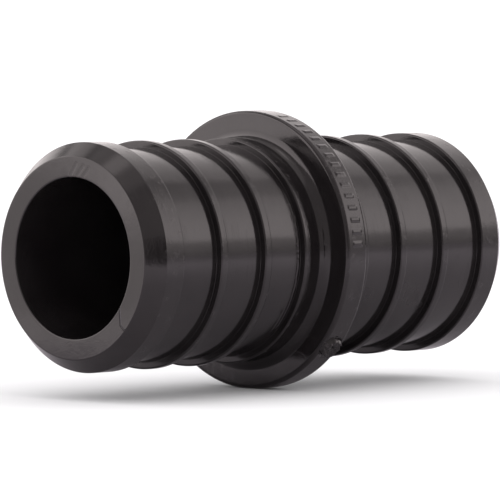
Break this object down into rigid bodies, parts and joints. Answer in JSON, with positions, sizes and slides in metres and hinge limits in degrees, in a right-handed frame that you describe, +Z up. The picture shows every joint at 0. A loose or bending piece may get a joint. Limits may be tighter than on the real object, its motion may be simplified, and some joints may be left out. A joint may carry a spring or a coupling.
{
  "type": "barbed insert tube coupling",
  "caption": "One-piece black plastic barbed insert coupling with a middle stop collar, joining two equal plastic tubes held by crimp rings.",
  "frame": {"origin": "middle of the coupling: on the flow axis, at the middle of the stop collar", "axes": "+X along the flow axis, +Z up; the tally bars on the collar's rim start near +Z and run round towards -Y, and the gate vestige lies between -Y and -Z"},
  "size_m": [0.0406, 0.0218, 0.0218],
  "materials": {
    "black_plastic": "soft gloss, as moulded"
  },
  "bodies": {
    "root": {"coupling_body": "black_plastic"}
  },
  "joints": []
}
